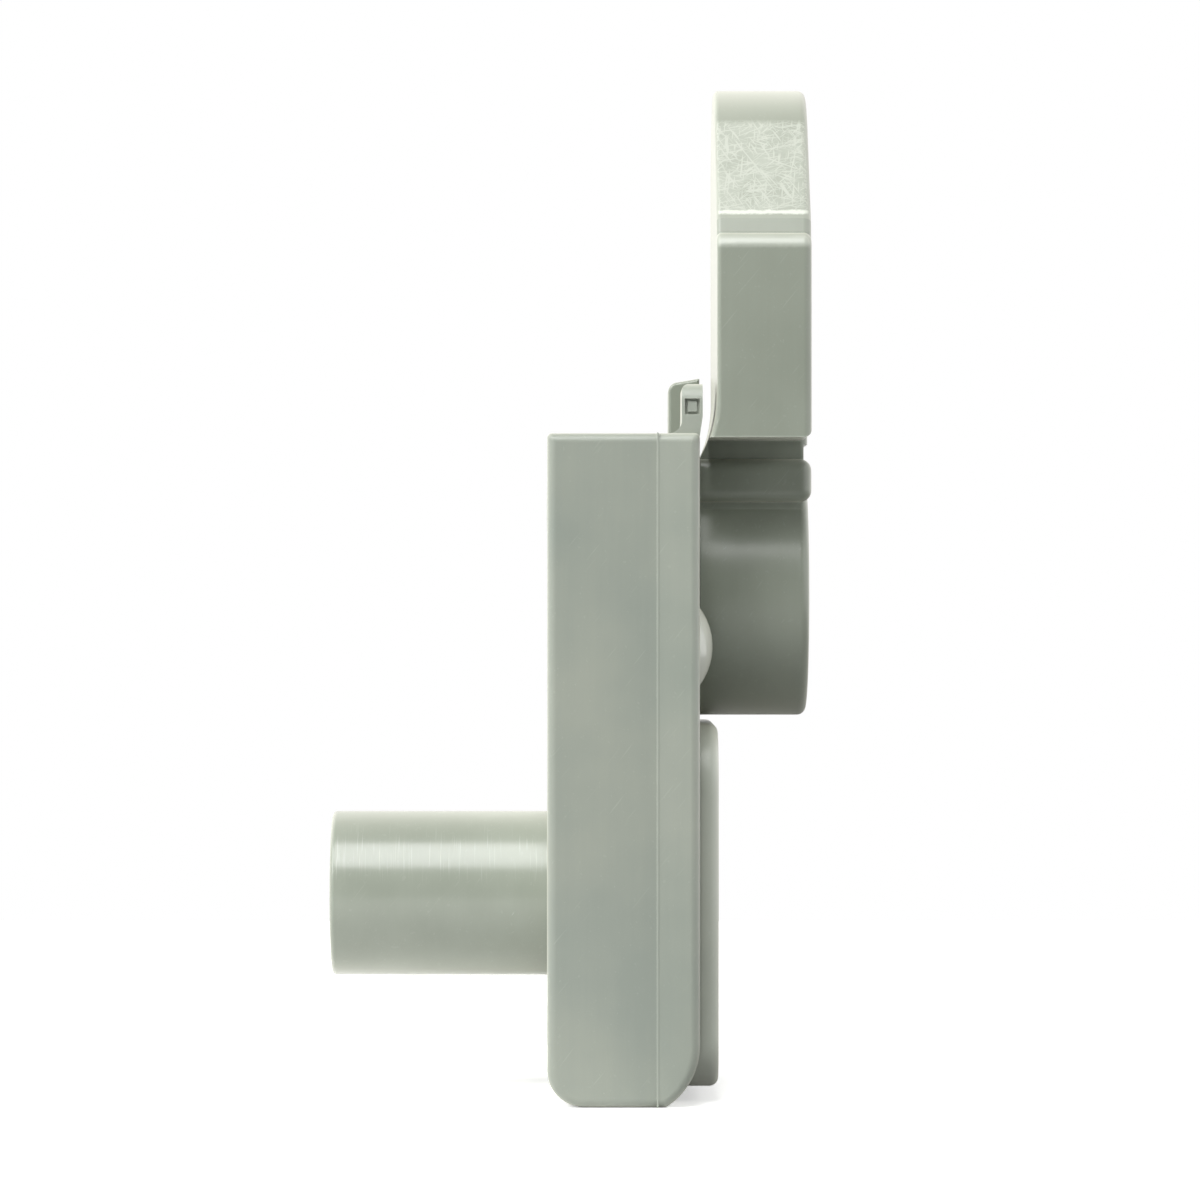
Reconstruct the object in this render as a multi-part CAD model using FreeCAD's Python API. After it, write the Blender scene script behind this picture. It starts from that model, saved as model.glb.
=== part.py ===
import FreeCAD, Part
import math
import os

from FreeCAD import Vector

# Stair gate latch, millimetres. Origin: spigot axis where it leaves the housing's back face.
# +X points out of the front, towards the hook. -Y is the side that the hook reaches over. +Z is up.

# Housing and cover
caseBottom = -20.4
caseTop = 47.1
caseHalfWidth = 21.0
housingFront = 11.0
coverFront = 15.3
coverPlate = 2.2
wall = 2.2
cornerRadius = 3.7
frontCornerRadius = 7.2
frontCornerCentre = (8.1, -14.3)
edgeRadius = 0.9
topCornerRadius = 0.5

# How far joined solids reach into each other, and how far cutting tools reach past the part
bite = 0.1
past = 30.0

# Flash where the cover meets the housing
flashProud = 0.05
flashWide = 0.15

# Spigot, its clip and its thread insert
spigotRadius = 8.5
spigotLength = 22.4
spigotBore = 6.2
stubRadius = 7.6
stubFront = 4.2
stubGroove = 7.1
seatDepth = 0.9
seatGap = 0.03
clipRadius = 10.2
clipThick = 0.8
clipMouth = 4.6
insertRadius = 3.6
insertThreadRadius = 2.1
insertLength = 8.0
insertGroove = (3.4, 4.6)
insertGrooveDepth = 0.5
tipFloor = 0.6
tipRadius = 0.5

# Hook, in the plane across the hinge axis
hingeHeight = 31.0
hubRadius = 12.5
hubFront = 26.6
leverBack = 15.5
headBack = 17.0
headFront = 26.5
headUnderside = 46.7
headNear = -21.0
headTop = 83.2
neckFront = 26.1
beadFront = 26.9
beadNear = -10.2
beadFar = 10.0
beadLow = 40.4
beadHigh = 44.8

# Hub screw under its flush cap
hubScrewRadius = 2.0
hubScrewHead = 4.0
hubScrewHeadBack = 21.6
hubScrewHeadFront = 24.0
hubCapRadius = 7.95
hubCapBack = 25.1
hubCapFront = 26.4
socketRadius = 1.7
socketDepth = 1.6

# Shaft, bush, crank
shaftRadius = 3.0
shaftBack = 1.2
shaftFront = 20.0
shaftFlat = 2.4
runningGap = 0.05
bushRadius = 5.0
bushBack = 12.1
washerRadius = 7.0
washerBack = 14.8
washerFront = 15.45
crankRadius = 8.5
crankBack = 6.7
crankThick = 2.1
pinRadius = 1.2
pinHead = 1.7
rollerRadius = 1.75
clipGroove = 2.4
clipBack = 11.3
clipFront = 11.9
springPegRadius = 0.8

# Return spring of the hook: wound wire with two straight legs
returnWire = 0.5
returnRadius = 5.2
returnPitch = 1.15
returnTurns = 2.5
returnLeg = 9.4
returnBack = 3.1

# Slide layer
slideBack = 9.0
slideFront = 10.9
slideLow = 19.0
slideHigh = 27.5
slideTravel = 4.95
slideNear = -7.6
armNear = 8.4
armFar = 12.4
armTop = 44.7
tabNear = 10.0
tabFar = 17.2
tabBack = 12.5
tabFront = 15.8
tabTop = 53.8
tabStepBottom = 43.4
tabSlotBottom = 43.1
tabClearance = 0.5
pinSlot = (-2.0, 2.0, 20.5, 26.0)
pinSlotRadius = 1.9
wedgeFoot = 6.2
wedgeNear = 6.0
wedgeFar = 13.0
wedgeX = 9.8

# Press pad
padFront = 17.3
padHalfWidth = 16.5
padLow = -19.0
padHigh = 17.8
padTopRadius = 6.4
padLowRadius = 5.0
padGap = 0.3
padTravel = 1.8
padEdgeRadius = 0.9
padPlate = 1.9
padSkirt = 1.6
padRibs = (-8.6, 2.4)
flangeBack = 11.8
flangeFront = 12.9
flangeHalfWidth = 17.3
flangeLow = -17.6
flangeHigh = 18.4
flangeRadius = 4.6

# Springs behind the pad: wound wire round a seat at each end
padSpringRadius = 2.2
padSpringWire = 0.35
padSpringTurns = 5.0
padSpringBack = 2.8
seatRadius = 1.3
seatFront = 4.6
cupRadius = 3.0

# Inside of the housing: slide ribs as (front, y0, y1, z0, z1), and the heights of the others
slideRibs = (
    (slideBack - 0.1, 1.0, 19.0, 38.3, 39.8),
    (slideBack - 0.1, -14.4, -12.8, 19.5, 28.0),
    (slideBack + 0.8, -14.4, 0.0, 17.2, slideLow - 0.2),
)
legPost = (5.6, -9.6, -7.6, 26.4, 28.4)
bufferRibs = (31.4, 40.1)
bufferBottom = 33.0
bufferTop = 39.9
wallRibs = (-14.0, 2.0)
wallRibThick = 1.2
postRadius = 3.0
bossRadius = 4.2
bossFront = 5.0

# Lips of the cover inside the housing, as ranges of height
lips = {-1: ((-12.0, 22.0), (29.4, 42.0)), 1: ((-12.0, 22.0), (29.4, 30.8))}
lipBack = 9.6
lipFront = 11.6
lipInner = 17.6
lipOuter = 18.65
nubOuter = 19.2

# Snap nubs between cover and housing
nubHeights = (-6.0, 10.0)
nubHeight = 3.0
nubClearance = 0.2

# Cover screws, under the domed caps
screwPlaces = ((-16.0, 25.7), (16.0, 25.7))
screwRadius = 1.25
screwHead = 2.9
screwHeadBack = 12.7
screwHeadFront = 14.3
screwTip = 4.6
crossHalfLength = 2.2
crossHalfWidth = 0.4
crossDepth = 0.8
capRadius = 4.0
capProud = 1.35
capSeat = 3.1

# Finger fence on the cover's top edge
fenceBack = 13.5
fenceFront = 15.6
fenceNear = -20.0
fenceFar = -9.0
fenceTop = 52.1
fenceNearRadius = 1.8
fenceTopRadius = 0.7
sillTop = 48.8
sillReach = 1.3
windowLow = 49.0
windowHigh = 50.6
windowDepth = 0.45

# Places of the three springs behind the pad: (y, z)
padSprings = {
    "pad_spring_near": (-12.3, -8.0),
    "pad_spring_far": (12.3, -8.0),
    "pad_spring_top": (-12.3, 10.5),
}


def block(x0, x1, y0, y1, z0, z1):
    return Part.makeBox(x1 - x0, y1 - y0, z1 - z0, Vector(x0, y0, z0))


def side_block(side, x0, x1, inner, outer, z0, z1):
    # Block on the near (-1) or far (1) side, between two distances from the middle
    return block(x0, x1, min(side * inner, side * outer), max(side * inner, side * outer), z0, z1)


def rod(radius, x0, x1, y=0.0, z=0.0):
    return Part.makeCylinder(radius, x1 - x0, Vector(x0, y, z), Vector(1, 0, 0))


def ring(outer, inner, x0, x1, y=0.0, z=0.0):
    return rod(outer, x0, x1, y, z).cut(rod(inner, x0, x1, y, z))


def prism(edges, direction):
    return Part.Face(Part.Wire(edges)).extrude(direction)


def line(a, b):
    return Part.LineSegment(a, b).toShape()


def arc(a, middle, b):
    return Part.Arc(a, middle, b).toShape()


def polygon(points, direction):
    return Part.Face(Part.makePolygon(list(points) + [points[0]])).extrude(direction)


def edges_where(shape, test):
    return [edge for edge in shape.Edges if test(edge)]


def is_along(edge, axis):
    if not isinstance(edge.Curve, Part.Line):
        return False
    return abs(abs(edge.Curve.Direction.dot(axis)) - 1.0) < 1e-6


def face_edges(shape, x):
    # Every edge that lies in the plane at this x
    def test(edge):
        box = edge.BoundBox
        return abs(box.XMin - x) < 1e-4 and abs(box.XMax - x) < 1e-4
    return edges_where(shape, test)


def rounded_plate(x0, x1, half_width, z0, z1, top_radius, low_radius):
    # Plate across X whose corners along X are rounded
    plate = block(x0, x1, -half_width, half_width, z0, z1)
    for z, radius in ((z1, top_radius), (z0, low_radius)):
        corners = edges_where(plate, lambda e: is_along(e, Vector(1, 0, 0)) and abs(e.BoundBox.ZMin - z) < 0.01)
        plate = plate.makeFillet(radius, corners)
    return plate


def side_profile(inset):
    # Outline of the closed case seen from the side, drawn in by the inset
    back = inset
    front = coverFront - inset
    low = caseBottom + inset
    high = caseTop - inset
    round_back = cornerRadius - inset
    round_front = frontCornerRadius - inset
    cx, cz = frontCornerCentre
    start = cx + math.sqrt(round_front ** 2 - (cz - low) ** 2)
    middle_angle = math.radians(-30)
    middle = Vector(cx + round_front * math.cos(middle_angle), 0, cz + round_front * math.sin(middle_angle))
    tilt = round_back * (1 - math.sqrt(0.5))
    return [
        line(Vector(back, 0, low + round_back), Vector(back, 0, high)),
        line(Vector(back, 0, high), Vector(front, 0, high)),
        line(Vector(front, 0, high), Vector(front, 0, cz)),
        arc(Vector(front, 0, cz), middle, Vector(start, 0, low)),
        line(Vector(start, 0, low), Vector(back + round_back, 0, low)),
        arc(Vector(back + round_back, 0, low), Vector(back + tilt, 0, low + tilt),
            Vector(back, 0, low + round_back)),
    ]


def case_solid(inset):
    half = caseHalfWidth - inset
    solid = prism(side_profile(inset), Vector(0, 2 * half, 0))
    solid.translate(Vector(0, -half, 0))
    return solid


def outer_case():
    # The side edges of the case are softened all round
    solid = case_solid(0.0)

    def on_side(edge):
        box = edge.BoundBox
        return box.YLength < 1e-4 and abs(abs(box.YMin) - caseHalfWidth) < 1e-4
    solid = solid.makeFillet(edgeRadius, edges_where(solid, on_side))

    def top_corner(edge):
        box = edge.BoundBox
        straight = is_along(edge, Vector(0, 1, 0))
        return straight and box.ZMin > caseTop - 0.05
    return solid.makeFillet(0.5, edges_where(solid, top_corner))


def rear_housing():
    front_part = block(housingFront, past, -past, past, -past, 2 * past)
    shell = outer_case().cut(case_solid(wall)).cut(front_part)
    floor = wall - 2 * bite
    for y, z in screwPlaces:
        shell = shell.fuse(rod(postRadius, floor, housingFront, y, z))
        shell = shell.cut(rod(screwRadius, screwTip - 0.6, housingFront, y, z))
    # Bearing boss of the shaft, inside the return spring
    shell = shell.fuse(rod(bossRadius, floor, bossFront, 0, hingeHeight))
    shell = shell.cut(rod(shaftRadius + runningGap, shaftBack - 0.2, bossFront, 0, hingeHeight))
    # Ribs that the slide runs on, and the post that holds the return spring's fixed leg down
    for front, y0, y1, z0, z1 in slideRibs + (legPost,):
        shell = shell.fuse(block(floor, front, y0, y1, z0, z1))
    # Seats of the pad springs
    for y, z in padSprings.values():
        shell = shell.fuse(rod(seatRadius, floor, seatFront, y, z))
    # Pocket ribs of the slide buffer
    for z in bufferRibs:
        shell = shell.fuse(block(slideBack - 1.4, slideFront, tabFar + 0.3, caseHalfWidth - wall + 0.4, z, z + 1.4))
    # Stiffening ribs on the floor and the walls, clear of the moving parts
    for side in (-1, 1):
        for z in wallRibs:
            shell = shell.fuse(side_block(side, floor, lipBack - 0.2, 15.6, caseHalfWidth - wall + 0.2,
                                          z, z + wallRibThick))
    # Hole for the spigot, with a conical seat at its mouth
    shell = shell.cut(rod(stubRadius, -1, wall + bite)).cut(spigot_seat(seatGap))
    # Windows for the cover's snap nubs
    for side in (-1, 1):
        for z in nubHeights:
            shell = shell.cut(side_block(side, lipBack - 0.3, lipBack + 1.0, lipOuter + 0.05, nubOuter + 0.3,
                                         z - nubClearance, z + nubHeight + nubClearance))
    return shell.removeSplitter()


def front_cover():
    back_part = block(-past, housingFront, -past, past, -past, 2 * past)
    inner = case_solid(wall)
    shell = outer_case().cut(inner).cut(back_part)
    plate_back = coverFront - coverPlate + bite
    # The front wall is thicker in the middle, where the shaft's bush sits
    shell = shell.fuse(rod(washerRadius + 0.2, bushBack + 0.2, plate_back, 0, hingeHeight))
    for y, z in screwPlaces:
        shell = shell.fuse(rod(capSeat + 1.3, housingFront, plate_back, y, z).common(case_solid(wall - bite)))
    # Side lips that reach into the housing, with snap nubs
    for side, heights in lips.items():
        for low, high in heights:
            shell = shell.fuse(side_block(side, lipBack, lipFront, lipInner, lipOuter, low, high))
            shell = shell.fuse(side_block(side, housingFront, lipFront, lipInner, nubOuter, low, high))
        for z in nubHeights:
            shell = shell.fuse(side_block(side, lipBack, lipBack + 0.8, lipOuter - 0.05, nubOuter,
                                          z, z + nubHeight))
    # Opening of the press pad, through the front and the curved lower corner
    opening = rounded_plate(housingFront - 2, past, padHalfWidth + padGap, padLow - padGap, padHigh + padGap,
                            padTopRadius + padGap, padLowRadius + padGap)
    shell = shell.cut(opening)
    # Bush hole, washer seat, screw holes with cap seats
    shell = shell.cut(rod(bushRadius, housingFront - 1, past, 0, hingeHeight))
    shell = shell.cut(rod(washerRadius + 0.1, washerBack, past, 0, hingeHeight))
    for y, z in screwPlaces:
        shell = shell.cut(rod(screwRadius + 0.45, housingFront - 1, past, y, z))
        shell = shell.cut(rod(capSeat, screwHeadBack, past, y, z))
    # Slot of the thumb tab, open at the top edge
    slot = block(housingFront - 1, past, tabNear - slideTravel - tabClearance, tabFar + tabClearance,
                 tabSlotBottom, 2 * past)
    shell = shell.cut(slot)
    # Thin flash all round, where the cover meets the housing
    flash_zone = block(housingFront, housingFront + flashWide, -past, past, -past, 2 * past)
    flash = case_solid(-flashProud).cut(inner).common(flash_zone)
    shell = shell.fuse(flash.cut(slot))
    return shell.fuse(finger_fence()).removeSplitter()


def finger_fence():
    # Upright tongue at the near end of the top edge, on a sill, with a shallow window at its end
    base = caseTop - 0.3
    corner = fenceNearRadius * (1 - math.sqrt(0.5))
    across = prism([
        line(Vector(0, fenceNear, base), Vector(0, fenceNear, fenceTop - fenceNearRadius)),
        arc(Vector(0, fenceNear, fenceTop - fenceNearRadius),
            Vector(0, fenceNear + corner, fenceTop - corner),
            Vector(0, fenceNear + fenceNearRadius, fenceTop)),
        line(Vector(0, fenceNear + fenceNearRadius, fenceTop), Vector(0, fenceFar - 2.0, fenceTop)),
        arc(Vector(0, fenceFar - 2.0, fenceTop), Vector(0, fenceFar - 0.8, fenceTop - 2.0),
            Vector(0, fenceFar, base)),
        line(Vector(0, fenceFar, base), Vector(0, fenceNear, base)),
    ], Vector(past, 0, 0))
    round_top = fenceTopRadius * (1 - math.sqrt(0.5))
    bend = sillReach * (1 - math.sqrt(0.5))
    side = prism([
        line(Vector(coverFront, 0, base), Vector(fenceFront, 0, sillTop)),
        line(Vector(fenceFront, 0, sillTop), Vector(fenceFront, 0, fenceTop)),
        line(Vector(fenceFront, 0, fenceTop), Vector(fenceBack + fenceTopRadius, 0, fenceTop)),
        arc(Vector(fenceBack + fenceTopRadius, 0, fenceTop),
            Vector(fenceBack + round_top, 0, fenceTop - round_top),
            Vector(fenceBack, 0, fenceTop - fenceTopRadius)),
        line(Vector(fenceBack, 0, fenceTop - fenceTopRadius), Vector(fenceBack, 0, caseTop + sillReach)),
        arc(Vector(fenceBack, 0, caseTop + sillReach), Vector(fenceBack - bend, 0, caseTop + bend),
            Vector(fenceBack - sillReach, 0, caseTop)),
        line(Vector(fenceBack - sillReach, 0, caseTop), Vector(fenceBack - sillReach, 0, base)),
        line(Vector(fenceBack - sillReach, 0, base), Vector(coverFront, 0, base)),
    ], Vector(0, fenceFar - fenceNear, 0))
    side.translate(Vector(0, fenceNear, 0))
    fence = across.common(side)
    frame = 0.3
    window = block(fenceBack + frame, fenceFront - frame, fenceNear - 1, fenceNear + windowDepth,
                   windowLow, windowHigh)
    panel = block(fenceBack + 2 * frame, fenceFront - 2 * frame, fenceNear + windowDepth / 2,
                  fenceNear + windowDepth + bite, windowLow + frame, windowHigh - frame)
    return fence.cut(window).fuse(panel)


def spigot_seat(gap):
    # Cone that centres the spigot in the mouth of its hole
    return Part.makeCone(spigotRadius + gap, stubRadius + gap, seatDepth, Vector(0, 0, 0), Vector(1, 0, 0))


def mounting_spigot():
    # Hollow spigot whose stub passes through the back wall and is held by a clip
    tube = rod(spigotRadius, -spigotLength, 0.0).fuse(rod(stubRadius, -1.0, stubFront)).fuse(spigot_seat(0.0))
    tip_edge = edges_where(tube, lambda e: abs(e.BoundBox.XMax + spigotLength) < 1e-4)
    tube = soften(tube, tipRadius, tip_edge)
    tube = tube.cut(ring(stubRadius + 1, stubGroove, wall, wall + clipThick))
    insert_end = -spigotLength + insertLength
    tube = tube.cut(rod(spigotBore, insert_end + tipFloor, past))
    tube = tube.cut(rod(insertRadius, -spigotLength - 1, insert_end))
    # The thin floor behind the insert has a hole that lets a long bolt pass
    return tube.cut(rod(insertThreadRadius + tipFloor, -spigotLength, past)).removeSplitter()


def spigot_clip():
    clip = ring(clipRadius, stubGroove, wall, wall + clipThick)
    return clip.cut(block(wall - 1, wall + clipThick + 1, -clipMouth, clipMouth, 0, past))


def spigot_insert():
    body = ring(insertRadius, insertThreadRadius, -spigotLength, -spigotLength + insertLength)
    low, high = insertGroove
    groove = ring(insertRadius + 1, insertRadius - insertGrooveDepth, low - spigotLength, high - spigotLength)
    return body.cut(groove)


def hook_outline():
    # Outline across the hinge axis: near wall, worn shoulder, ramp, crown and far side
    points = {
        "root_near": (-9.0, 33.0),
        "inner_corner": (-9.0, headUnderside),
        "tip": (headNear, headUnderside),
        "shoulder": (headNear, 65.7),
        "shoulder_mid": (-20.55, 66.75),
        "step_foot": (-19.7, 67.2),
        "step_top": (-19.3, 68.7),
        "ramp_low": (-18.5, 69.5),
        "ramp_high": (-10.0, 78.7),
        "crown_mid": (-5.6, 81.9),
        "crown": (0.0, headTop),
        "far_mid": (8.2, 80.0),
        "far_top": (12.0, 71.5),
        "far_side": (11.6, 58.0),
        "neck_far": (9.3, 46.0),
        "root_far": (8.8, 33.0),
    }
    p = {name: Vector(leverBack, y, z) for name, (y, z) in points.items()}
    edges = [
        line(p["root_near"], p["inner_corner"]),
        line(p["inner_corner"], p["tip"]),
        line(p["tip"], p["shoulder"]),
        arc(p["shoulder"], p["shoulder_mid"], p["step_foot"]),
        line(p["step_foot"], p["step_top"]),
        line(p["step_top"], p["ramp_low"]),
        line(p["ramp_low"], p["ramp_high"]),
        arc(p["ramp_high"], p["crown_mid"], p["crown"]),
        arc(p["crown"], p["far_mid"], p["far_top"]),
        arc(p["far_top"], p["far_side"], p["neck_far"]),
        line(p["neck_far"], p["root_far"]),
        line(p["root_far"], p["root_near"]),
    ]
    return prism(edges, Vector(headFront - leverBack, 0, 0))


def hook_side_shape():
    # Side outline: the back steps in to the head with a concave curve
    flare_low = 44.8
    flare_high = 51.0
    depth = headBack - leverBack
    radius = (depth ** 2 + (flare_high - flare_low) ** 2) / (2 * depth)
    centre = headBack - radius
    half = (flare_low + flare_high) / 2
    on_flare = centre + math.sqrt(radius ** 2 - (flare_high - half) ** 2)
    edges = [
        line(Vector(leverBack, -30, 30), Vector(leverBack, -30, flare_low)),
        arc(Vector(leverBack, -30, flare_low), Vector(on_flare, -30, half), Vector(headBack, -30, flare_high)),
        line(Vector(headBack, -30, flare_high), Vector(headBack, -30, 90)),
        line(Vector(headBack, -30, 90), Vector(40, -30, 90)),
        line(Vector(40, -30, 90), Vector(40, -30, 30)),
        line(Vector(40, -30, 30), Vector(leverBack, -30, 30)),
    ]
    return prism(edges, Vector(0, 60, 0))


def hook_lever(shaft):
    body = hook_outline()
    body = soften(body, 0.8, face_edges(body, headFront))
    body = body.common(hook_side_shape())
    back_edges = edges_where(body, lambda e: abs(e.BoundBox.XMax - headBack) < 1e-3
                             and e.BoundBox.XLength < 1e-3 and e.BoundBox.ZMin > 50.5)
    body = soften(body, 0.5, back_edges)
    body = body.cut(block(neckFront, past, -past, past, past, headUnderside - 0.4))
    hub = rod(hubRadius, leverBack, hubFront, 0, hingeHeight)
    hub = soften(hub, 0.9, face_edges(hub, hubFront))
    bead = block(leverBack, beadFront, beadNear, beadFar, beadLow, beadHigh)
    bead = soften(bead, 1.2, edges_where(bead, lambda e: e.BoundBox.XMax > beadFront - 0.1
                                         or e.BoundBox.XLength > 1))
    body = body.fuse(hub).fuse(bead).cut(shaft)
    # Screw hole, its counterbore and the seat of the flush cap
    for radius, back in ((hubScrewRadius, shaftFront - 1), (hubScrewHead + 0.3, hubScrewHeadBack),
                         (hubCapRadius + 0.05, hubCapBack)):
        body = body.cut(rod(radius, back, past, 0, hingeHeight))
    return body.removeSplitter()


def soften(shape, radius, edges):
    # Fillets the edges together
    if not edges:
        raise ValueError("no edges to soften")
    return shape.makeFillet(radius, edges)


def pivot_shaft():
    shaft = rod(shaftRadius, shaftBack, shaftFront, 0, hingeHeight)
    shaft = shaft.cut(ring(shaftRadius + 2, clipGroove, clipBack, clipFront, 0, hingeHeight))
    # Flats that drive the lever and the crank
    for x0, x1 in ((leverBack, shaftFront + 1), (crankBack, crankBack + crankThick)):
        shaft = shaft.cut(block(x0, x1, -past, past, hingeHeight + shaftFlat, hingeHeight + shaftRadius + 1))
    return shaft.cut(rod(hubScrewRadius, 12.5, past, 0, hingeHeight))


def crank_plate(shaft):
    crank_front = crankBack + crankThick
    pin_z = hingeHeight - crankRadius
    eye = pinRadius + 1.4
    plate = rod(2 * shaftRadius, crankBack, crank_front, 0, hingeHeight)
    plate = plate.fuse(block(crankBack, crank_front, -eye, eye, pin_z, hingeHeight))
    plate = plate.fuse(rod(eye, crankBack, crank_front, 0, pin_z))
    # Ear with a peg that lifts the return spring's moving leg
    plate = plate.fuse(block(crankBack, crank_front, -8.6, -3.0, 31.6, 35.2))
    plate = plate.fuse(rod(springPegRadius, crankBack - 1.4, crankBack + 0.5, -7.6, 34.8))
    plate = plate.cut(rod(pinRadius, 0, past, 0, pin_z))
    return plate.cut(shaft).removeSplitter()


def crank_pin():
    pin_z = hingeHeight - crankRadius
    pin = rod(pinRadius, crankBack - 0.4, slideFront, 0, pin_z)
    return pin.fuse(rod(pinHead, crankBack - 0.8, crankBack, 0, pin_z)).removeSplitter()


def shaft_clip():
    mouth = 1.9
    clip = ring(shaftRadius + 2, clipGroove, clipBack, clipFront, 0, hingeHeight)
    return clip.cut(block(clipBack - 1, clipFront + 1, -mouth, mouth, hingeHeight, past + hingeHeight))


def coil(radius, wire, pitch, turns, start, left_handed):
    # Round wire wound about X from the start point of its axis
    helix = Part.makeHelix(pitch, pitch * turns, radius, 0, left_handed)
    section = Part.Wire([Part.Circle(Vector(radius, 0, 0), Vector(0, 1, 0), wire).toShape()])
    spring = helix.makePipeShell([section], True, True)
    spring.rotate(Vector(0, 0, 0), Vector(0, 1, 0), 90)
    spring.translate(start)
    return spring


def hook_return_spring():
    # Wound wire with a straight leg at each end, both towards the near side
    spring = coil(returnRadius, returnWire, returnPitch, returnTurns, Vector(returnBack, 0, hingeHeight), False)
    legs = ((returnBack, hingeHeight - returnRadius),
            (returnBack + returnPitch * returnTurns, hingeHeight + returnRadius))
    for x, z in legs:
        spring = spring.fuse(Part.makeCylinder(returnWire, returnLeg, Vector(x, 0, z), Vector(0, -1, 0)))
    return spring


def pad_spring(y, z):
    length = flangeBack - 0.8 - padSpringBack
    return coil(padSpringRadius, padSpringWire, length / padSpringTurns, padSpringTurns,
                Vector(padSpringBack, y, z), False)


def cover_screws():
    screws = []
    slot_floor = screwHeadFront - crossDepth
    for y, z in screwPlaces:
        head = rod(screwHead, screwHeadBack, screwHeadFront, y, z)
        for half_y, half_z in ((crossHalfLength, crossHalfWidth), (crossHalfWidth, crossHalfLength)):
            head = head.cut(block(slot_floor, screwHeadFront + 1, y - half_y, y + half_y, z - half_z, z + half_z))
        screws.append(head.fuse(rod(screwRadius, screwTip, screwHeadBack, y, z)).removeSplitter())
    return Part.makeCompound(screws)


def screw_cap(y, z):
    # Spherical cap with a hollow stem in the screw hole
    sphere_radius = (capRadius ** 2 + capProud ** 2) / (2 * capProud)
    ball = Part.makeSphere(sphere_radius, Vector(coverFront + capProud - sphere_radius, y, z))
    dome = ball.common(rod(capRadius, coverFront, past, y, z))
    stem = ring(capSeat, capSeat - 0.9, screwHeadFront + bite, coverFront, y, z)
    return dome.fuse(stem).removeSplitter()


def hub_screw():
    head = rod(hubScrewHead, hubScrewHeadBack, hubScrewHeadFront, 0, hingeHeight)
    corners = []
    for i in range(6):
        angle = math.radians(60 * i)
        corners.append(Vector(hubScrewHeadFront - socketDepth, socketRadius * math.cos(angle),
                              hingeHeight + socketRadius * math.sin(angle)))
    head = head.cut(polygon(corners, Vector(socketDepth + 1, 0, 0)))
    return head.fuse(rod(hubScrewRadius, 13.2, hubScrewHeadBack, 0, hingeHeight)).removeSplitter()


def hub_cap():
    disc = rod(hubCapRadius, hubCapBack, hubCapFront, 0, hingeHeight)
    disc = soften(disc, 0.4, face_edges(disc, hubCapFront))
    return disc.fuse(ring(4.3, 3.4, hubCapBack - 0.8, hubCapBack, 0, hingeHeight)).removeSplitter()


def slide_wedge_x(y, gap):
    # The wedge face turns the pad's stroke into the slide's travel
    return wedgeX - gap - (y - wedgeNear) * padTravel / slideTravel


def thumb_slide():
    bar = block(slideBack, slideFront, slideNear, armFar, slideLow, slideHigh)
    arm = block(slideBack, slideFront, armNear, armFar, slideLow, armTop)
    upper = block(slideBack, slideFront, armNear, tabFar, 34.0, armTop)
    step = block(slideBack, 15.0, tabNear, tabFar, tabStepBottom, armTop)
    body = bar.fuse(arm).fuse(upper).fuse(step)
    pin_slot = block(0, past, *pinSlot)
    pin_slot = soften(pin_slot, pinSlotRadius, edges_where(pin_slot, lambda e: is_along(e, Vector(1, 0, 0))))
    body = body.cut(pin_slot)
    tongue_low = 8.0
    tongue = polygon([
        Vector(wedgeFoot, wedgeNear, tongue_low),
        Vector(slide_wedge_x(wedgeNear, 0.0), wedgeNear, tongue_low),
        Vector(slide_wedge_x(wedgeFar, 0.0), wedgeFar, tongue_low),
        Vector(wedgeFoot, wedgeFar, tongue_low),
    ], Vector(0, 0, slideLow + 2.0 - tongue_low))
    knuckle = block(wedgeFoot, slideFront, armNear - 1.0, armFar, slideLow, slideLow + 2.0)
    return body.fuse(tongue).fuse(knuckle).fuse(thumb_tab()).removeSplitter()


def thumb_tab():
    # Upright tab with a dished front, a small round at the back and a top that rises to the front
    foot = tabStepBottom + 0.2
    dish = tabFront - 0.8
    edges = [
        line(Vector(tabBack, 0, foot), Vector(tabBack, 0, tabTop - 1.5)),
        arc(Vector(tabBack, 0, tabTop - 1.5), Vector(tabBack + 0.3, 0, tabTop - 0.7),
            Vector(tabBack + 1.0, 0, tabTop - 0.4)),
        line(Vector(tabBack + 1.0, 0, tabTop - 0.4), Vector(tabFront, 0, tabTop)),
        line(Vector(tabFront, 0, tabTop), Vector(tabFront, 0, 50.4)),
        arc(Vector(tabFront, 0, 50.4), Vector(dish + 0.1, 0, 48.4), Vector(dish, 0, 46.4)),
        line(Vector(dish, 0, 46.4), Vector(dish, 0, foot)),
        line(Vector(dish, 0, foot), Vector(tabBack, 0, foot)),
    ]
    tab = prism(edges, Vector(0, tabFar - tabNear, 0))
    tab.translate(Vector(0, tabNear, 0))
    sides = edges_where(tab, lambda e: e.BoundBox.YLength < 1e-4 and e.BoundBox.ZMin > 47.8)
    return soften(tab, 0.35, sides)


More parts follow.
